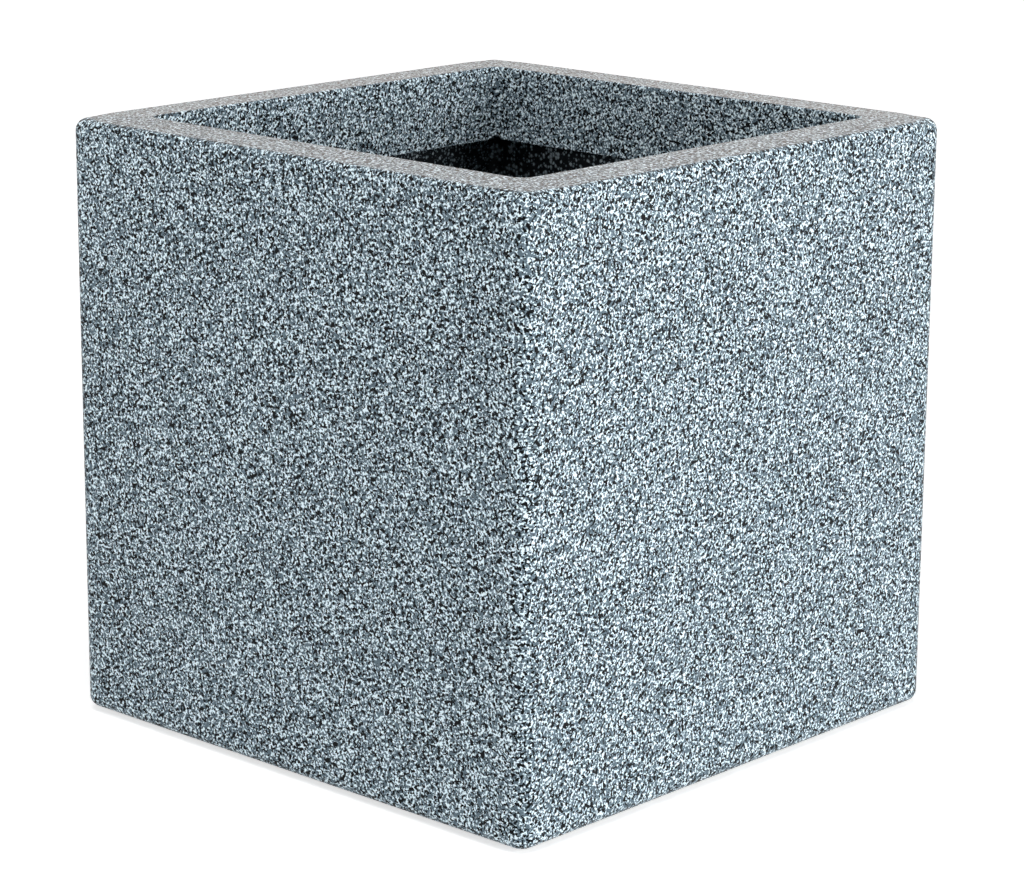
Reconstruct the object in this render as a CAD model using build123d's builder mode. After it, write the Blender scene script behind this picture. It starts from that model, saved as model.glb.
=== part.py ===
"""Cube planter: a rotationally moulded shell with a broad rim and a return lip, on four pads.

Millimetres. The origin is on the ground under the middle of the planter, +Z up, +Y to the back.
The shell is one moulding. Its feet, ground-fixing bushes and drain bungs are separate pieces.
"""

import os

from build123d import *

# --- Shell ---------------------------------------------------------------------------------
width = 500.0  # outside, along X
depth = 500.0  # outside, along Y
height = 500.0  # ground to the top of the rim
wall = 6.0  # sides, rim and return lip
floor_thickness = 8.0
rim_width = 46.0  # outside face to the inner face of the return lip
lip_depth = 65.0  # top of the rim to the trimmed edge of the return lip
corner_radius = 14.0  # upright outside corners, seen from above
rim_radius = 10.0  # outside edge of the rim
base_radius = 10.0  # outside edge of the base
mouth_corner_radius = 10.0  # upright corners of the return lip, seen from above
mouth_edge_radius = 2.0  # where the rim turns down into the return lip
lip_root_radius = 8.0  # behind the return lip, under the rim

# --- Feet ----------------------------------------------------------------------------------
foot_stand = 3.0  # ground to the underside of the shell
foot_inset = 60.0  # outside face to the middle of a foot
pad_diameter = 60.0
pad_seat_depth = 4.0  # pocket in the base that holds a pad in place
pad_fit = 0.3  # gap round a pad in its pocket
pad_edge_chamfer = 1.5
pad_recess_diameter = 20.0  # hides the washer and the head of the screw
foot_washer_diameter = 18.0
foot_washer_thickness = 1.5
foot_screw_diameter = 6.0
foot_screw_length = 16.0  # under the head
foot_screw_tip_chamfer = 0.8
foot_screw_head_diameter = 10.5
foot_screw_head_height = 3.3
foot_screw_head_lift = 0.7  # ground to the head
foot_screw_head_radius = 2.6  # domed edge of the head
foot_screw_socket = 4.0  # across the flats
foot_screw_socket_depth = 2.0
screw_hole_fit = 0.3  # gap round a screw in its pad and its washer
thread_fit = 0.08  # gap round a screw in its insert

# --- Threaded inserts moulded into the base --------------------------------------------------
insert_diameter = 12.0
insert_tip_gap = 1.5  # past the tip of the screw
insert_end_wall = 1.5  # brass past the end of the bore
insert_groove_width = 3.0
insert_groove_depth = 1.0
boss_wall = 8.0  # plastic round an insert
boss_cover = 4.0  # plastic over an insert
boss_edge_radius = 3.0

# --- Ground-fixing bushes --------------------------------------------------------------------
fixing_inset = 130.0  # outside face to the middle of a fixing hole
fixing_bore_diameter = 11.0  # clearance for a 10 mm anchor
bush_wall = 2.0
bush_flange_diameter = 34.0
bush_flange_thickness = 2.0
bush_edge_chamfer = 0.4
bush_fit = 0.1  # gap round a bush in the floor

# --- Drain bungs -----------------------------------------------------------------------------
drain_inset = 52.0  # inner face of the return lip to the middle of a drain hole, seen from above
drain_hole_diameter = 24.0
drain_seat_diameter = 42.0  # shallow sump round a drain hole
drain_seat_depth = 2.0
bung_flange_diameter = 36.0
bung_flange_thickness = 3.0
bung_flange_chamfer = 0.8
bung_stem_gap = 1.2  # gap between the stem of a bung and its hole
bung_stem_reach = 1.5  # stem below the underside of the shell
bung_ring_fit = 0.1  # gap between a sealing ring and the hole
bung_ring_height = 1.2
bung_ring_drops = (1.2, 3.6)  # flange to the top of each sealing ring
bung_core_diameter = 14.0
bung_core_depth = 5.5
bung_grip_width = 24.0
bung_grip_thickness = 5.0
bung_grip_height = 13.0
bung_grip_radius = 6.0
bung_grip_hole_diameter = 7.0
bung_grip_hole_rise = 7.0  # flange to the middle of the hole in the grip

# --- Heights and places that follow from the sizes above ---------------------------------------
floor_top = foot_stand + floor_thickness
rim_underside = height - wall
lip_edge = height - lip_depth
mouth_width = width - 2 * rim_width
mouth_depth = depth - 2 * rim_width
inner_corner_radius = corner_radius - wall
pad_top = foot_stand + pad_seat_depth
foot_washer_underside = foot_screw_head_lift + foot_screw_head_height
foot_washer_top = foot_washer_underside + foot_washer_thickness
insert_bore_depth = foot_washer_underside + foot_screw_length + insert_tip_gap - pad_top
insert_length = insert_bore_depth + insert_end_wall
boss_top = pad_top + insert_length + boss_cover
bush_diameter = fixing_bore_diameter + 2 * bush_wall
drain_seat = floor_top - drain_seat_depth
bung_stem_length = drain_seat - foot_stand + bung_stem_reach
drain_reach_x = mouth_width / 2 - drain_inset
drain_reach_y = mouth_depth / 2 - drain_inset

foot_spots = GridLocations(width - 2 * foot_inset, depth - 2 * foot_inset, 2, 2)
fixing_spots = GridLocations(width - 2 * fixing_inset, depth - 2 * fixing_inset, 2, 2)
drain_seats = {
    "front": Plane(origin=(0, -drain_reach_y, drain_seat), x_dir=(1, 0, 0)),
    "right": Plane(origin=(drain_reach_x, 0, drain_seat), x_dir=(0, 1, 0)),
    "back": Plane(origin=(0, drain_reach_y, drain_seat), x_dir=(-1, 0, 0)),
    "left": Plane(origin=(-drain_reach_x, 0, drain_seat), x_dir=(0, -1, 0)),
}
drain_spots = Locations(*[(seat.origin.X, seat.origin.Y) for seat in drain_seats.values()])

os.makedirs("parts", exist_ok=True)

# --- Foot inserts: brass, each with a groove that the plastic grips, and a blind thread ---------
insert_groove_floor = pad_top + (insert_length - insert_groove_width) / 2
with BuildPart() as insert_blanks:
    with BuildSketch(Plane.XY.offset(pad_top)):
        with foot_spots:
            Circle(insert_diameter / 2)
    extrude(amount=insert_length)
    with BuildSketch(Plane.XY.offset(insert_groove_floor)):
        with foot_spots:
            Circle(insert_diameter / 2)
            Circle(insert_diameter / 2 - insert_groove_depth, mode=Mode.SUBTRACT)
    extrude(amount=insert_groove_width, mode=Mode.SUBTRACT)

with BuildPart() as foot_inserts:
    add(insert_blanks.part)
    with BuildSketch(Plane.XY.offset(pad_top)):
        with foot_spots:
            Circle(foot_screw_diameter / 2 + thread_fit)
    extrude(amount=insert_bore_depth, mode=Mode.SUBTRACT)

foot_inserts.part.label = "foot_inserts"
export_step(foot_inserts.part, "parts/foot_inserts.step")

# --- Shell: sides, floor, broad rim and return lip, moulded in one piece ------------------------
with BuildPart() as shell_outside:
    with BuildSketch(Plane.XY.offset(foot_stand)):
        RectangleRounded(width, depth, corner_radius)
    extrude(amount=height - foot_stand)
    fillet(shell_outside.edges().group_by(Axis.Z)[-1], min(rim_radius, corner_radius - 0.5))
    fillet(shell_outside.edges().group_by(Axis.Z)[0], min(base_radius, corner_radius - 0.5))

# The hollow runs out under the rim and keeps the wall even round the outside edges.
with BuildPart() as shell_hollow:
    with BuildSketch(Plane.XY.offset(floor_top)):
        RectangleRounded(width - 2 * wall, depth - 2 * wall, inner_corner_radius)
    extrude(amount=rim_underside - floor_top)
    fillet(shell_hollow.edges().group_by(Axis.Z)[-1], min(rim_radius - wall, inner_corner_radius - 0.5))
    fillet(shell_hollow.edges().group_by(Axis.Z)[0], min(base_radius - wall, inner_corner_radius - 0.5))

with BuildPart() as return_lip:
    with BuildSketch(Plane.XY.offset(lip_edge)):
        RectangleRounded(mouth_width + 2 * wall, mouth_depth + 2 * wall, mouth_corner_radius + wall)
    extrude(amount=lip_depth - wall / 2)

with BuildPart() as shell:
    add(shell_outside.part)
    add(shell_hollow.part, mode=Mode.SUBTRACT)
    add(return_lip.part)
    lip_root = [
        edge
        for edge in shell.edges().filter_by_position(Axis.Z, rim_underside - 0.01, rim_underside + 0.01)
        if abs(edge.center().X) < mouth_width / 2 + wall + 0.01
        and abs(edge.center().Y) < mouth_depth / 2 + wall + 0.01
    ]
    fillet(lip_root, lip_root_radius)

    # The mouth, with the soft edge where the rim turns down.
    with BuildSketch(Plane.XY.offset(height)):
        RectangleRounded(mouth_width, mouth_depth, mouth_corner_radius)
    extrude(amount=-lip_depth, mode=Mode.SUBTRACT)
    mouth_edge = [
        edge
        for edge in shell.edges().filter_by_position(Axis.Z, height - 0.01, height + 0.01)
        if abs(edge.center().X) < mouth_width / 2 + 0.01
        and abs(edge.center().Y) < mouth_depth / 2 + 0.01
    ]
    fillet(mouth_edge, min(mouth_edge_radius, wall - 0.5))

    # Bosses on the floor, one over each threaded insert.
    with BuildSketch(Plane.XY.offset(floor_top)):
        with foot_spots:
            Circle(insert_diameter / 2 + boss_wall)
    extrude(amount=boss_top - floor_top)
    boss_edges = shell.edges().filter_by(GeomType.CIRCLE)
    fillet(boss_edges.filter_by_position(Axis.Z, boss_top - 0.01, boss_top + 0.01), boss_edge_radius)

    # Pockets for the pads, and the plastic that flows round the inserts.
    with BuildSketch(Plane.XY.offset(foot_stand)):
        with foot_spots:
            Circle(pad_diameter / 2 + pad_fit)
    extrude(amount=pad_seat_depth, mode=Mode.SUBTRACT)
    add(insert_blanks.part, mode=Mode.SUBTRACT)

    # Holes through the floor, and the shallow sump round each drain hole.
    with BuildSketch(Plane.XY.offset(foot_stand)):
        with fixing_spots:
            Circle(bush_diameter / 2 + bush_fit)
        with drain_spots:
            Circle(drain_hole_diameter / 2)
    extrude(amount=floor_thickness, mode=Mode.SUBTRACT)
    with BuildSketch(Plane.XY.offset(drain_seat)):
        with drain_spots:
            Circle(drain_seat_diameter / 2)
    extrude(amount=drain_seat_depth, mode=Mode.SUBTRACT)

shell.part.label = "shell"
export_step(shell.part, "parts/shell.step")

# --- Foot pads: rubber, let into the base, with a recess underneath for washer and screw head ---
with BuildPart() as foot_pads:
    with BuildSketch(Plane.XY):
        with foot_spots:
            Circle(pad_diameter / 2)
    extrude(amount=pad_top)
    chamfer(foot_pads.edges().group_by(Axis.Z)[0], pad_edge_chamfer)
    with BuildSketch(Plane.XY):
        with foot_spots:
            Circle(pad_recess_diameter / 2)
    extrude(amount=foot_washer_top, mode=Mode.SUBTRACT)
    with BuildSketch(Plane.XY):
        with foot_spots:
            Circle(foot_screw_diameter / 2 + screw_hole_fit)
    extrude(amount=pad_top, mode=Mode.SUBTRACT)

foot_pads.part.label = "foot_pads"
export_step(foot_pads.part, "parts/foot_pads.step")

# --- Foot washers: stainless, they spread the clamp of the screw over the rubber ----------------
with BuildPart() as foot_washers:
    with BuildSketch(Plane.XY.offset(foot_washer_underside)):
        with foot_spots:
            Circle(foot_washer_diameter / 2)
            Circle(foot_screw_diameter / 2 + screw_hole_fit, mode=Mode.SUBTRACT)
    extrude(amount=foot_washer_thickness)

foot_washers.part.label = "foot_washers"
export_step(foot_washers.part, "parts/foot_washers.step")

# --- Foot screws: stainless, button heads with a hexagon socket --------------------------------
with BuildPart() as foot_screws:
    with BuildSketch(Plane.XY.offset(foot_screw_head_lift)):
        with foot_spots:
            Circle(foot_screw_head_diameter / 2)
    extrude(amount=foot_screw_head_height)
    fillet(foot_screws.edges().group_by(Axis.Z)[0], foot_screw_head_radius)
    with BuildSketch(Plane.XY.offset(foot_washer_underside)):
        with foot_spots:
            Circle(foot_screw_diameter / 2)
    extrude(amount=foot_screw_length)
    chamfer(foot_screws.edges().group_by(Axis.Z)[-1], foot_screw_tip_chamfer)
    with BuildSketch(Plane.XY.offset(foot_screw_head_lift)):
        with foot_spots:
            RegularPolygon(foot_screw_socket / 2, 6, major_radius=False)
    extrude(amount=foot_screw_socket_depth, mode=Mode.SUBTRACT)

foot_screws.part.label = "foot_screws"
export_step(foot_screws.part, "parts/foot_screws.step")

# --- Fixing bushes: stainless, flanged, they carry the ground anchors through the floor ---------
with BuildPart() as fixing_bushes:
    with BuildSketch(Plane.XY.offset(foot_stand)):
        with fixing_spots:
            Circle(bush_diameter / 2)
    extrude(amount=floor_thickness)
    with BuildSketch(Plane.XY.offset(floor_top)):
        with fixing_spots:
            Circle(bush_flange_diameter / 2)
    extrude(amount=bush_flange_thickness)
    chamfer(fixing_bushes.edges().group_by(Axis.Z)[-1], bush_edge_chamfer)
    with BuildSketch(Plane.XY.offset(foot_stand)):
        with fixing_spots:
            Circle(fixing_bore_diameter / 2)
    extrude(amount=floor_thickness + bush_flange_thickness, mode=Mode.SUBTRACT)

fixing_bushes.part.label = "fixing_bushes"
export_step(fixing_bushes.part, "parts/fixing_bushes.step")

# --- Drain bungs: rubber, pulled out upwards by the grip ----------------------------------------
for side, seat in drain_seats.items():
    grip_plane = Plane(origin=seat.origin, x_dir=seat.x_dir, z_dir=seat.x_dir.cross(seat.z_dir))
    with BuildPart() as drain_bung:
        with BuildSketch(seat):
            Circle(bung_flange_diameter / 2)
        extrude(amount=bung_flange_thickness)
        chamfer(drain_bung.edges().group_by(Axis.Z)[-1], bung_flange_chamfer)
        with BuildSketch(seat):
            Circle(drain_hole_diameter / 2 - bung_stem_gap)
        extrude(amount=-bung_stem_length)
        for drop in bung_ring_drops:
            with BuildSketch(seat.offset(-drop)):
                Circle(drain_hole_diameter / 2 - bung_ring_fit)
            extrude(amount=-bung_ring_height)
        with BuildSketch(seat.offset(-bung_stem_length)):
            Circle(bung_core_diameter / 2)
        extrude(amount=bung_core_depth, mode=Mode.SUBTRACT)
        with BuildSketch(grip_plane) as grip:
            with Locations((0, bung_flange_thickness + bung_grip_height / 2)):
                Rectangle(bung_grip_width, bung_grip_height)
            fillet(grip.vertices().group_by(Axis.Y)[-1], bung_grip_radius)
            with Locations((0, bung_flange_thickness + bung_grip_hole_rise)):
                Circle(bung_grip_hole_diameter / 2, mode=Mode.SUBTRACT)
        extrude(amount=bung_grip_thickness / 2, both=True)
    drain_bung.part.label = f"drain_bung_{side}"
    export_step(drain_bung.part, f"parts/drain_bung_{side}.step")
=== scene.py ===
"""Cube planter with a speckled, stone-like skin, standing on four rubber feet.

Metres, +Z up. The planter stands on the ground at the origin, and +X and +Y run along its sides.
"""

import math

import bmesh
import bpy
from mathutils import Matrix, Vector


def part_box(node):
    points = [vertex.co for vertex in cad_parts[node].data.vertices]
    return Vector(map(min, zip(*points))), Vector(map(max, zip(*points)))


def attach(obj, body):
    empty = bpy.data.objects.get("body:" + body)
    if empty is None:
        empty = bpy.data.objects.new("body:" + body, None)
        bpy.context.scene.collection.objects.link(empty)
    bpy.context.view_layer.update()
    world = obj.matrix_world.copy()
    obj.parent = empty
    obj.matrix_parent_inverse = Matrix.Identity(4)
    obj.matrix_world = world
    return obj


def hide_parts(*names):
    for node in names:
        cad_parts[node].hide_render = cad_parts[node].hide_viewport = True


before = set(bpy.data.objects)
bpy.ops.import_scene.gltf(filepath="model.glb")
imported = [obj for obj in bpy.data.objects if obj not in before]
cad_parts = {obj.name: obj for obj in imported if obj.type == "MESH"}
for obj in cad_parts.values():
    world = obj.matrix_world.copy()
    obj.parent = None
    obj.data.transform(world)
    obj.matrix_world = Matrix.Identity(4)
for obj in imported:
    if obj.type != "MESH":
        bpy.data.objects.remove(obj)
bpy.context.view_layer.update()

MM = 0.001

# --- Shell: the skin ---------------------------------------------------------------------------
# One rotationally moulded polyethylene skin, 6 mm thick: sides, base, a broad flat rim and the lip
# that the rim turns down into, trimmed with a cutter along its lower edge. It is built whole, as a
# run of level outlines joined by bands of faces, from under the base over the rim to the floor.
shell_low, shell_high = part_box("shell")
half = shell_high.x
base_level = shell_low.z
rim_level = shell_high.z
wall = 6 * MM
floor_top = base_level + 8 * MM
rim_underside = rim_level - wall
rim_width = 46 * MM
lip_edge = rim_level - 65 * MM
corner_radius = 14 * MM
rim_radius = 10 * MM
base_radius = 10 * MM
mouth_corner_radius = 10 * MM
mouth_edge_radius = 2 * MM
lip_root_radius = 8 * MM
trim_chamfer = 0.6 * MM
straight_rim_radius = 5 * MM  # the rim's outside edge is crisper between the corners than at them
rim_fall = 1 * MM  # the rim slopes down a little to its outside edge, so that rain runs off
corner_relief = 4 * MM  # how far the cutter rises at each corner of the lip
corner_steps = 12
patches = ["shell_sides", "shell_rim", "shell_lip", "shell_inside", "shell_floor", "shell_base"]
skin = bmesh.new()


def outline(inset, radius, level):
    """A level rounded square, inset from the outside faces: a square whose corners are bevelled."""
    square = bmesh.ops.create_grid(
        skin, x_segments=1, y_segments=1, size=half - inset, matrix=Matrix.Translation((0, 0, level))
    )
    bmesh.ops.bevel(
        skin, geom=square["verts"], offset=radius, segments=corner_steps, profile=0.5,
        affect="VERTICES", material=-1,
    )
    edges = skin.edges[:]
    bmesh.ops.delete(skin, geom=skin.faces[:], context="FACES_ONLY")
    return edges


def drawn_out(edges, patch):
    """Extrudes a ring of edges into a band of quads. Gives the far ring's vertices and edges."""
    made = bmesh.ops.extrude_edge_only(skin, edges=edges)["geom"]
    for face in made:
        if isinstance(face, bmesh.types.BMFace):
            face.material_index = patches.index(patch)
    verts = [vert for vert in made if isinstance(vert, bmesh.types.BMVert)]
    far = set(verts)
    return verts, [e for e in made if isinstance(e, bmesh.types.BMEdge) and far.issuperset(e.verts)]


def follow(edges, places, patch):
    """Draws a rounded-square ring out from the first place (inset, corner radius, level) through
    the rest. The corners are scaled about their own centres, so that they stay truly round."""
    passed = []
    for (inset, radius, level), (next_inset, next_radius, next_level) in zip(places, places[1:]):
        verts, edges = drawn_out(edges, patch)
        for x, y in ((1, 1), (-1, 1), (-1, -1), (1, -1)):
            corner = [vert for vert in verts if vert.co.x * x > 0 and vert.co.y * y > 0]
            centre = Vector((x * (half - inset - radius), y * (half - inset - radius), level))
            next_reach = half - next_inset - next_radius
            target = Vector((x * next_reach, y * next_reach, next_level))
            share = next_radius / radius
            bmesh.ops.scale(skin, verts=corner, vec=(share, share, 1), space=Matrix.Translation(-centre))
            bmesh.ops.translate(skin, verts=corner, vec=target - centre)
        passed += verts
    return edges, passed


def turn(inset, level, radius, first, last, steps=8):
    """Places (inset, level) round part of a circle, by angles in degrees from straight inwards."""
    angles = [math.radians(first + (last - first) * step / steps) for step in range(steps + 1)]
    return [(inset + radius * math.cos(a), level + radius * math.sin(a)) for a in angles]


def outer(places):
    """Adds the radius of corners that are concentric with the outside corners."""
    return [(inset, corner_radius - inset, level) for inset, level in places]


def mouth(places):
    """Adds the radius of corners that are concentric with the corners of the mouth."""
    return [(inset, mouth_corner_radius + rim_width - inset, level) for inset, level in places]


hollow_radius = rim_radius - wall
floor_radius = base_radius - wall
lip_back = rim_width - wall
round_base = outer(turn(base_radius, base_level + base_radius, base_radius, 270, 180))
over_rim = outer(turn(rim_radius, rim_level - rim_radius, rim_radius, 180, 90, 10))
into_mouth = mouth(
    turn(rim_width - mouth_edge_radius, rim_level - mouth_edge_radius, mouth_edge_radius, 90, 0)
)
trim = mouth([
    (rim_width, lip_edge + trim_chamfer),
    (rim_width - trim_chamfer, lip_edge),
    (lip_back + trim_chamfer, lip_edge),
    (lip_back, lip_edge + trim_chamfer),
])
behind_lip = mouth(
    turn(lip_back - lip_root_radius, rim_underside - lip_root_radius, lip_root_radius, 0, 90)
)
down_inside = outer(
    turn(wall + hollow_radius, rim_underside - hollow_radius, hollow_radius, 90, 180)
    + turn(wall + floor_radius, floor_top + floor_radius, floor_radius, 180, 270, 6)
)
base_ring = outline(*round_base[0])
ring, _ = follow(base_ring, round_base, "shell_base")
ring, _ = follow(ring, [round_base[-1], over_rim[0]], "shell_sides")
ring, _ = follow(ring, over_rim + into_mouth, "shell_rim")
ring, trimmed = follow(ring, [into_mouth[-1]] + trim, "shell_lip")
ring, _ = follow(ring, [trim[-1]] + behind_lip, "shell_lip")
floor_ring, _ = follow(ring, [behind_lip[-1]] + down_inside, "shell_inside")

# The cutter rises where it turns each corner of the lip.
arc_centre = half - rim_width - mouth_corner_radius
for vert in trimmed:
    across, along = abs(vert.co.x) - arc_centre, abs(vert.co.y) - arc_centre
    if min(across, along) > 0:
        vert.co.z += corner_relief * math.sin(2 * math.atan2(along, across)) ** 2

# Between the corners the outside edge of the rim tightens to a smaller radius, over a short run
# that is cut into strips first. The whole rim then falls towards its outside edge.
run_in = 30 * MM
rim_index = patches.index("shell_rim")
for share in (0.15, 0.3, 0.45, 0.6, 0.8, 1.0):
    for direction in ((1, 0, 0), (-1, 0, 0), (0, 1, 0), (0, -1, 0)):
        cut = {}
        for face in skin.faces:
            if patches[face.material_index] in ("shell_rim", "shell_sides"):
                cut.update(dict.fromkeys((face, *face.edges, *face.verts)))
        place = Vector(direction) * (half - corner_radius - share * run_in)
        bmesh.ops.bisect_plane(skin, geom=list(cut), plane_co=place, plane_no=direction)
edge_zone = rim_radius + mouth_edge_radius
flat_run = rim_width - mouth_edge_radius
for vert in {vert for face in skin.faces if face.material_index == rim_index for vert in face.verts}:
    reach, along = sorted((abs(vert.co.x), abs(vert.co.y)), reverse=True)
    inset, drop = half - reach, rim_level - vert.co.z
    into_run = min(max((half - corner_radius - along) / run_in, 0), 1)
    if inset < edge_zone and drop < edge_zone:
        eased = into_run * into_run * (3 - 2 * into_run)
        tightening = (1 - straight_rim_radius / rim_radius) * eased
        if abs(vert.co.x) == reach:
            vert.co.x += math.copysign(inset * tightening, vert.co.x)
        else:
            vert.co.y += math.copysign(inset * tightening, vert.co.y)
        vert.co.z += drop * tightening
    outward = max(abs(vert.co.x), abs(vert.co.y))
    vert.co.z -= rim_fall * max(0, 1 - (half - outward) / flat_run)

# Sockets, holes and bosses of the floor, each drawn out from a circle.
pad_radius = 30 * MM
pad_fit = 0.3 * MM
bush_flange_radius = 17 * MM
bush_hole_radius = 7.6 * MM
bung_flange_radius = 18 * MM
insert_radius = 6 * MM
foot_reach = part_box("foot_pads")[1].x - pad_radius
bush_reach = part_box("fixing_bushes")[1].x - bush_flange_radius
bung_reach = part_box("drain_bung_right")[1].x - bung_flange_radius
foot_spots = [(x * foot_reach, y * foot_reach) for x in (-1, 1) for y in (-1, 1)]
bush_spots = [(x * bush_reach, y * bush_reach) for x in (-1, 1) for y in (-1, 1)]
drain_spots = [(x * bung_reach, y * bung_reach) for x, y in ((0, -1), (1, 0), (0, 1), (-1, 0))]
pocket_top = base_level + 4 * MM
insert_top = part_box("foot_inserts")[1].z
boss_radius = 14 * MM
boss_edge = 3 * MM
boss_top = insert_top + 4 * MM
drain_radius = 12 * MM
drain_seat_radius = 21 * MM
drain_seat = floor_top - 2 * MM


def stack(spot, places, patch, closed=False):
    """Draws a circle out from the first place (radius, level) through the rest."""
    radius, level = places[0]
    made = bmesh.ops.create_circle(
        skin, cap_ends=False, radius=radius, segments=40, matrix=Matrix.Translation((*spot, level))
    )
    first = edges = list(dict.fromkeys(edge for vert in made["verts"] for edge in vert.link_edges))
    for next_radius, next_level in places[1:]:
        verts, edges = drawn_out(edges, patch)
        share = next_radius / radius
        middle = Matrix.Translation((-spot[0], -spot[1], 0))
        bmesh.ops.scale(skin, verts=verts, vec=(share, share, 1), space=middle)
        bmesh.ops.translate(skin, verts=verts, vec=(0, 0, next_level - level))
        radius, level = next_radius, next_level
    if closed:
        for face in bmesh.ops.edgeloop_fill(skin, edges=edges)["faces"]:
            face.material_index = patches.index(patch)
    return first, edges


floor_rings, base_rings = floor_ring, base_ring
for spot in foot_spots:
    dome = turn(boss_radius - boss_edge, boss_top - boss_edge, boss_edge, 0, 90, 5)
    boss = [(boss_radius, floor_top)] + dome
    floor_rings = floor_rings + stack(spot, boss, "shell_floor", closed=True)[0]
    socket = [
        (pad_radius + pad_fit, base_level),
        (pad_radius + pad_fit, pocket_top),
        (insert_radius, pocket_top),
        (insert_radius, insert_top),
    ]
    base_rings = base_rings + stack(spot, socket, "shell_base", closed=True)[0]
for spot in bush_spots:
    hole = [(bush_hole_radius, floor_top), (bush_hole_radius, base_level)]
    top, bottom = stack(spot, hole, "shell_floor")
    floor_rings, base_rings = floor_rings + top, base_rings + bottom
for spot in drain_spots:
    drain = [
        (drain_seat_radius, floor_top),
        (drain_seat_radius, drain_seat),
        (drain_radius, drain_seat),
        (drain_radius, base_level),
    ]
    top, bottom = stack(spot, drain, "shell_floor")
    floor_rings, base_rings = floor_rings + top, base_rings + bottom
for edges, patch in ((floor_rings, "shell_floor"), (base_rings, "shell_base")):
    for face in bmesh.ops.triangle_fill(skin, edges=edges, use_beauty=True, normal=(0, 0, 1))["geom"]:
        if isinstance(face, bmesh.types.BMFace):
            face.material_index = patches.index(patch)
bmesh.ops.recalc_face_normals(skin, faces=skin.faces)

# --- Shell: its patches ------------------------------------------------------------------------
# The skin is shared out so that each patch gets a sharp map when its pattern is stored: one for
# each side and one each for rim, lip, inside, floor and base. The shading direction is taken from
# the whole skin first, so no seam shows where two patches meet.
whole_mesh = bpy.data.meshes.new("shell_whole")
for edge in skin.edges:
    edge.smooth = edge.calc_face_angle(0) < math.radians(30)
for face in skin.faces:
    face.smooth = True
skin.to_mesh(whole_mesh)
whole = bpy.data.objects.new("shell_whole", whole_mesh)
bpy.context.collection.objects.link(whole)
even_shading = whole.modifiers.new("even_shading", "WEIGHTED_NORMAL")
even_shading.keep_sharp = True
shaded = whole.evaluated_get(bpy.context.evaluated_depsgraph_get()).to_mesh()
shading = [corner.vector.copy() for corner in shaded.corner_normals]
kept_shading = whole_mesh.attributes.new("kept_shading", "FLOAT_VECTOR", "CORNER")
kept_shading.data.foreach_set("vector", [part for normal in shading for part in normal])


def patch_of(face):
    """The name of the patch that a face belongs to. The sides part at the upright corners."""
    name = patches[face.material_index]
    if name != "shell_sides":
        return name
    x, y, _ = face.calc_center_median()
    if abs(x) > abs(y):
        return "shell_right" if x > 0 else "shell_left"
    return "shell_back" if y > 0 else "shell_front"


def shell_patch(name):
    """Cuts one patch out of the whole skin. It keeps the shading that the whole skin has there."""
    mesh = bmesh.new()
    mesh.from_mesh(whole_mesh)
    others = [face for face in mesh.faces if patch_of(face) != name]
    bmesh.ops.delete(mesh, geom=others, context="FACES")
    for face in mesh.faces:
        face.material_index = 0
    data = bpy.data.meshes.new(name)
    mesh.to_mesh(data)
    mesh.free()
    kept = data.attributes["kept_shading"]
    data.normals_split_custom_set([corner.vector for corner in kept.data])
    data.attributes.remove(data.attributes["kept_shading"])
    piece = bpy.data.objects.new(name, data)
    bpy.context.collection.objects.link(piece)
    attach(piece, "planter")
    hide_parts("shell")
    return piece


outer_names = ("front", "right", "back", "left", "rim", "lip", "base")
outer_patches = [shell_patch("shell_" + name) for name in outer_names]
inner_patches = [shell_patch("shell_" + name) for name in ("inside", "floor")]
bpy.data.objects.remove(whole)
bpy.data.meshes.remove(whole_mesh)
skin.free()

# --- Shell: the speckled plastic ---------------------------------------------------------------
# White and slate powder with soot-black grains scattered through it, 1 to 3 mm across, melted side
# by side. The inside is charcoal with a few pale grains, since the speckled powder goes in first
# and lies outermost.


def add(tree, kind, inputs=(), **settings):
    """Adds a shader node, sets its properties, and sets or links its inputs."""
    made = tree.nodes.new(kind)
    for name, value in settings.items():
        setattr(made, name, value)
    for socket, value in dict(inputs).items():
        if isinstance(value, bpy.types.NodeSocket):
            tree.links.new(value, made.inputs[socket])
        else:
            made.inputs[socket].default_value = value
    return made


def blank(name):
    """A material with a plastic shader and the coordinates of the object."""
    material = bpy.data.materials.new(name)
    material.use_nodes = True
    tree = material.node_tree
    shader = tree.nodes["Principled BSDF"]
    return material, tree, shader, add(tree, "ShaderNodeTexCoord").outputs["Object"]


def ramp(tree, factor, stops, interpolation="LINEAR"):
    """A colour ramp with the given (position, (r, g, b)) stops."""
    made = add(tree, "ShaderNodeValToRGB", {"Fac": factor})
    band = made.color_ramp
    band.interpolation = interpolation
    while len(band.elements) < len(stops):
        band.elements.new(0.5)
    for element, (position, colour) in zip(band.elements, stops):
        element.position = position
        element.color = (*colour, 1)
    return made.outputs["Color"]


def noise(tree, place, size, detail=0.0, twist=0.0):
    """Smooth noise whose light and dark patches are about as wide as the size."""
    inputs = {"Vector": place, "Scale": 1 / size, "Detail": detail, "Distortion": twist}
    return add(tree, "ShaderNodeTexNoise", inputs).outputs["Fac"]


def blend(tree, factor, first, second):
    """Mixes two colours, given as sockets or as (r, g, b, 1)."""
    made = add(tree, "ShaderNodeMix", data_type="RGBA")
    for place_in_list, value in ((0, factor), (6, first), (7, second)):
        if isinstance(value, bpy.types.NodeSocket):
            tree.links.new(value, made.inputs[place_in_list])
        else:
            made.inputs[place_in_list].default_value = value
    return made.outputs[2]


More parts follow.
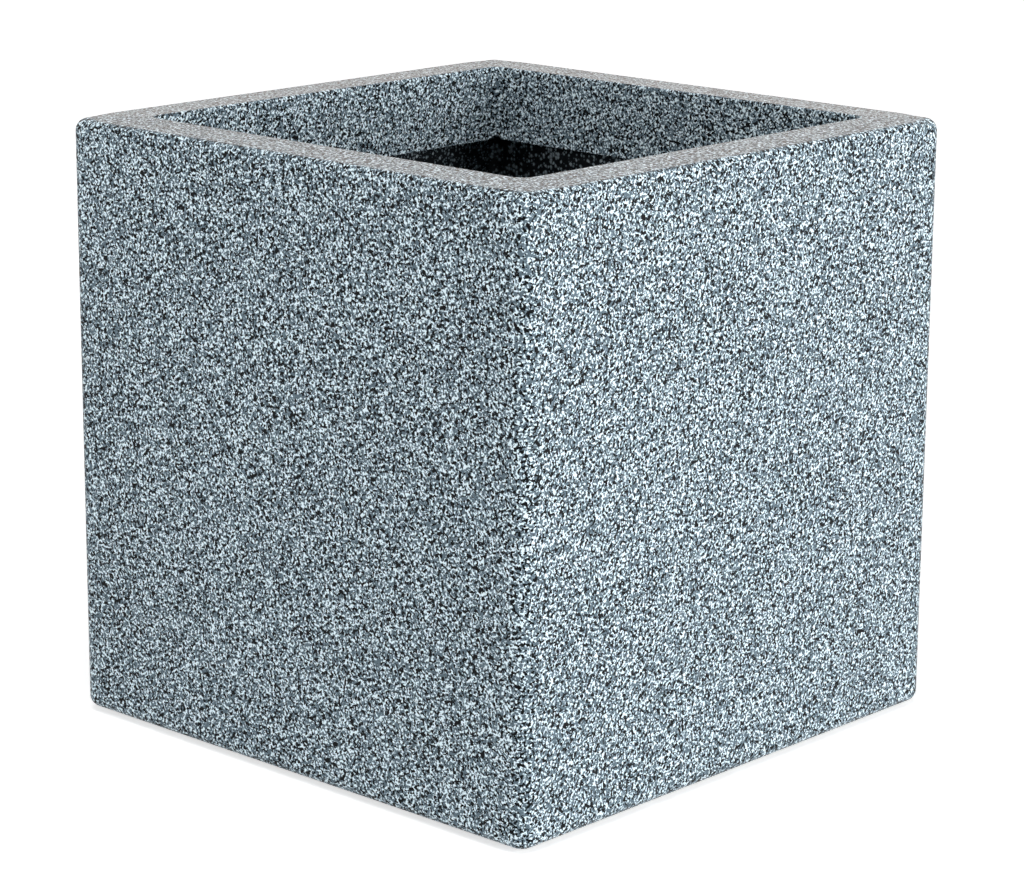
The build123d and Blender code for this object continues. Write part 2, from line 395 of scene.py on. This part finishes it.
def moulded_surface(tree, shader, place, smooth, rough):
    """The orange peel of a rotational moulding, dull in its hollows and between two roughnesses."""
    peel = noise(tree, place, 3.5 * MM, 2.0)
    bump = add(tree, "ShaderNodeBump", {"Height": peel, "Strength": 0.3, "Distance": 0.3 * MM})
    tree.links.new(bump.outputs["Normal"], shader.inputs["Normal"])
    gloss = add(
        tree, "ShaderNodeMapRange",
        {"Value": peel, "From Min": 0.35, "From Max": 0.65, "To Min": rough, "To Max": smooth},
    )
    tree.links.new(gloss.outputs["Result"], shader.inputs["Roughness"])


granite_skin, tree, shader, place = blank("granite_skin")
turned = add(tree, "ShaderNodeMapping", {"Vector": place, "Rotation": (0.5, 0.35, 0.2)})
place = turned.outputs["Vector"]
chips = noise(tree, place, 2.0 * MM, 1.0, 0.4)
clumps = add(
    tree, "ShaderNodeMapRange",
    {"Value": noise(tree, place, 6 * MM, 1.0), "To Min": -0.08, "To Max": 0.08},
)
gathered = add(tree, "ShaderNodeMath", {0: chips, 1: clumps.outputs["Result"]}, operation="ADD")
pale_on_slate = ramp(
    tree, gathered.outputs["Value"],
    [
        (0.0, (0.085, 0.12, 0.147)), (0.46, (0.115, 0.165, 0.20)), (0.52, (0.19, 0.26, 0.315)),
        (0.56, (0.78, 0.92, 0.99)), (1.0, (0.90, 0.98, 1.0)),
    ],
)
elsewhere = add(tree, "ShaderNodeMapping", {"Vector": place, "Location": (3.1, 1.7, 2.3)})
soot = ramp(
    tree, noise(tree, elsewhere.outputs["Vector"], 2.5 * MM, 1.0, 0.4),
    [(0.0, (1, 1, 1)), (0.445, (1, 1, 1)), (0.46, (0, 0, 0)), (1.0, (0, 0, 0))],
)
tree.links.new(blend(tree, soot, pale_on_slate, (0.002, 0.0025, 0.003, 1)), shader.inputs["Base Color"])
shader.inputs["IOR"].default_value = 1.2
shader.inputs["Sheen Weight"].default_value = 0.3
shader.inputs["Sheen Roughness"].default_value = 0.3
shader.inputs["Sheen Tint"].default_value = (1.0, 0.81, 0.7, 1)
moulded_surface(tree, shader, place, 0.3, 0.45)

granite_inside, tree, shader, place = blank("granite_inside")
cells = add(tree, "ShaderNodeTexVoronoi", {"Vector": place, "Scale": 1 / (3.0 * MM)})
chance = add(tree, "ShaderNodeSeparateColor", {"Color": cells.outputs["Color"]}).outputs["Red"]
spread = add(tree, "ShaderNodeMath", {0: cells.outputs["Distance"], 1: chance}, operation="ADD")
flecks = ramp(
    tree, spread.outputs["Value"],
    [
        (0.45, (0.85, 0.95, 1.0)), (0.72, (0.34, 0.43, 0.48)),
        (0.86, (0.022, 0.03, 0.038)), (1.0, (0.010, 0.014, 0.018)),
    ],
)
tree.links.new(flecks, shader.inputs["Base Color"])
shader.inputs["IOR"].default_value = 1.33
moulded_surface(tree, shader, place, 0.5, 0.65)

for piece in outer_patches:
    piece.data.materials.clear()
    piece.data.materials.append(granite_skin)
for piece in inner_patches:
    piece.data.materials.clear()
    piece.data.materials.append(granite_inside)


def dress(node, material):
    """Gives a node of the frame its finished material."""
    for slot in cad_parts[node].material_slots:
        slot.material = material


# --- Feet, fixings and bungs: rubber and metal ---------------------------------------------------
# Moulded rubber pads, each held in its socket by a steel screw and washer that run into a brass
# insert, steel bushes pressed into the floor, and soft rubber bungs pushed into the drain holes.


def rubber(name, colour, roughness):
    """Matt rubber, dusty in places, with a fine grain from its mould."""
    material, tree, shader, place = blank(name)
    dust = add(tree, "ShaderNodeTexNoise", {"Vector": place, "Scale": 90.0, "Detail": 6.0})
    pale = tuple(part * 1.9 + 0.01 for part in colour)
    dusty = ramp(tree, dust.outputs["Fac"], [(0.35, colour), (0.75, pale)])
    tree.links.new(dusty, shader.inputs["Base Color"])
    shader.inputs["Roughness"].default_value = roughness
    grain = add(tree, "ShaderNodeTexNoise", {"Vector": place, "Scale": 900.0, "Detail": 3.0})
    relief = {"Height": grain.outputs["Fac"], "Strength": 0.3, "Distance": 0.2 * MM}
    bump = add(tree, "ShaderNodeBump", relief)
    tree.links.new(bump.outputs["Normal"], shader.inputs["Normal"])
    return material


def metal(name, colour, roughness):
    """Turned metal: fine level tool lines that vary its colour and its roughness."""
    material, tree, shader, place = blank(name)
    brushed = add(tree, "ShaderNodeMapping", {"Vector": place, "Scale": (300, 300, 4000)})
    cut = {"Vector": brushed.outputs["Vector"], "Scale": 1.0, "Detail": 4.0}
    lines = add(tree, "ShaderNodeTexNoise", cut)
    shader.inputs["Metallic"].default_value = 1.0
    dull = tuple(part * 0.72 for part in colour)
    lined = ramp(tree, lines.outputs["Fac"], [(0.3, dull), (0.7, colour)])
    tree.links.new(lined, shader.inputs["Base Color"])
    worn = add(
        tree, "ShaderNodeMapRange",
        {"Value": lines.outputs["Fac"], "To Min": roughness - 0.08, "To Max": roughness + 0.12},
    )
    tree.links.new(worn.outputs["Result"], shader.inputs["Roughness"])
    return material


dress("foot_pads", rubber("pad_rubber", (0.018, 0.018, 0.019), 0.75))
dress("foot_inserts", metal("turned_brass", (0.78, 0.57, 0.25), 0.3))
stainless = metal("stainless_steel", (0.62, 0.61, 0.6), 0.28)
dress("foot_washers", stainless)
dress("foot_screws", stainless)
dress("fixing_bushes", stainless)
bung_rubber = rubber("bung_rubber", (0.03, 0.031, 0.033), 0.6)
for side in ("front", "right", "back", "left"):
    dress("drain_bung_" + side, bung_rubber)

# --- Studio: floor, background, lamps and camera -------------------------------------------------
# A white paper floor that the camera sees burnt out to white, except close round the planter, where
# its shadow stays. Two softboxes stand low at the sides and one hangs above.
floor_mesh = bmesh.new()
bmesh.ops.create_grid(floor_mesh, x_segments=1, y_segments=1, size=12)
floor_data = bpy.data.meshes.new("floor")
floor_mesh.to_mesh(floor_data)
floor_mesh.free()
floor = bpy.data.objects.new("floor", floor_data)
bpy.context.collection.objects.link(floor)
paper, tree, shader, place = blank("white_paper")
shader.inputs["Roughness"].default_value = 0.9
shader.inputs["Base Color"].default_value = (0.82, 0.82, 0.82, 1)
shader.inputs["Emission Color"].default_value = (1, 1, 1, 1)
away = add(tree, "ShaderNodeVectorMath", {0: place}, operation="LENGTH")
burnt_out = add(
    tree, "ShaderNodeMapRange",
    {"Value": away.outputs["Value"], "From Min": 0.6, "From Max": 3.0, "To Min": 0.6, "To Max": 0.9},
    interpolation_type="SMOOTHSTEP",
)
seen = add(tree, "ShaderNodeLightPath").outputs["Is Camera Ray"]
overexposed = add(tree, "ShaderNodeMath", {0: seen, 1: burnt_out.outputs["Result"]}, operation="MULTIPLY")
tree.links.new(overexposed.outputs["Value"], shader.inputs["Emission Strength"])
floor_data.materials.append(paper)

world = bpy.data.worlds.new("studio")
bpy.context.scene.world = world
world.use_nodes = True
tree = world.node_tree
path = add(tree, "ShaderNodeLightPath")
backdrop = tree.nodes["Background"]
backdrop.inputs["Color"].default_value = (1, 1, 1, 1)
shown = add(
    tree, "ShaderNodeMath",
    {0: path.outputs["Is Camera Ray"], 1: path.outputs["Is Glossy Ray"]}, operation="MAXIMUM",
)
cleared = add(
    tree, "ShaderNodeMath",
    {0: shown.outputs["Value"], 1: path.outputs["Is Transmission Ray"]}, operation="MAXIMUM",
)
levels = {"Value": cleared.outputs["Value"], "To Min": 0.15, "To Max": 1.0}
strength = add(tree, "ShaderNodeMapRange", levels)
tree.links.new(strength.outputs["Result"], backdrop.inputs["Strength"])


def softbox(name, place, size, power):
    """A square lamp that points at the middle of the planter."""
    lamp = bpy.data.lights.new(name, "AREA")
    lamp.size = size
    lamp.energy = power
    holder = bpy.data.objects.new(name, lamp)
    holder.location = place
    aim = Vector((0, 0, half)) - Vector(place)
    holder.rotation_euler = aim.to_track_quat("-Z", "Y").to_euler()
    bpy.context.collection.objects.link(holder)


softbox("right", (3.3, 0.7, 0.95), 1.2, 93)
softbox("left", (-0.7, -3.2, 0.95), 1.2, 34)
softbox("top", (0.6, -1.0, 3.0), 1.8, 48)

camera_data = bpy.data.cameras.new("camera")
camera_data.sensor_width = 36
camera_data.lens = 118.6
camera = bpy.data.objects.new("camera", camera_data)
bpy.context.collection.objects.link(camera)
stand = Matrix.Translation((1.8332, -1.9815, 0.9200))
pan = Matrix.Rotation(math.radians(42.678), 4, "Z")
tilt = Matrix.Rotation(math.radians(90 - 14.362), 4, "X")
roll = Matrix.Rotation(math.radians(0.359), 4, "Z")
camera.matrix_world = stand @ pan @ tilt @ roll
bpy.context.scene.camera = camera
bpy.context.scene.view_settings.view_transform = "Standard"
